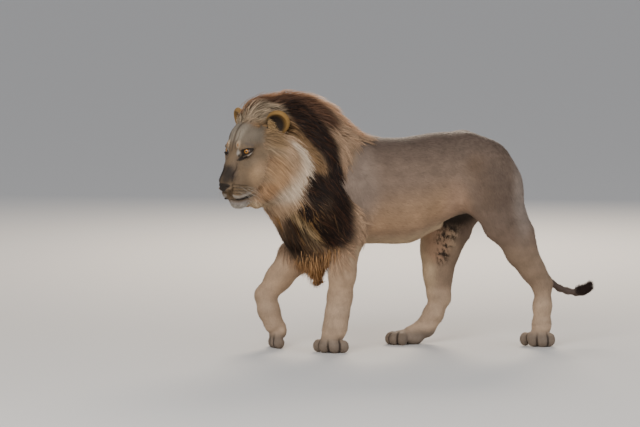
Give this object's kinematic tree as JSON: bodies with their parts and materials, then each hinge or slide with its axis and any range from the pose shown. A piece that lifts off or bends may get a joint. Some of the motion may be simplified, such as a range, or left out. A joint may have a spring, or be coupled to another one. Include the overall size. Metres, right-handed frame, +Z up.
{
  "type": "lion",
  "caption": "Life-size still model of a dark-maned male African lion walking slowly, head low and turned to its left, tail hanging behind.",
  "frame": {"origin": "on the floor, under the middle of the whole animal's bounding box", "axes": "+X from head to tail along the body, so the nose points towards -X; the animal's left side is towards -Y; +Z up"},
  "size_m": [1.9162, 0.4854, 1.2624],
  "materials": {
    "coat": "short tawny fur, greyer on the back and warmer on the legs",
    "mane_fur": "long hair, near black with tawny streaks and a reddish-tan crest",
    "cheek_ruff": "pale cream-buff hair swept back from the cheek",
    "ear_fur": "dark hollow with an olive-gold rim",
    "pale_fur": "short white-cream fur",
    "paw_fur": "short cream-tan fur, dark between the toes",
    "tail_tuft_fur": "dark brown hair",
    "nose_leather": "bare black nose leather, slightly moist",
    "eye": "wet amber iris with a dark rim and a small round pupil"
  },
  "bodies": {
    "root": {"cheek_left": "cheek_ruff", "cheek_right": "cheek_ruff", "chest_mane": "mane_fur", "ear_left": "ear_fur", "ear_right": "ear_fur", "eye_left": "eye", "eye_right": "eye", "eyelids_left": "coat", "eyelids_right": "coat", "fore_left_forearm": "coat", "fore_left_paw": "paw_fur", "fore_right_forearm": "coat", "fore_right_paw": "paw_fur", "head": "coat", "hind_left_paw": "paw_fur", "hind_left_shank": "coat", "hind_left_thigh": "coat", "hind_right_paw": "paw_fur", "hind_right_shank": "coat", "hind_right_thigh": "coat", "hindquarters": "coat", "loin": "coat", "lower_jaw": "pale_fur", "mane_tip": "mane_fur", "muzzle": "coat", "neck_mane": "mane_fur", "nose_pad": "nose_leather", "ribcage": "coat", "shoulder_left": "coat", "shoulder_right": "coat", "tail_end": "coat", "tail_middle": "coat", "tail_root": "coat", "tail_tuft": "tail_tuft_fur"}
  },
  "joints": []
}
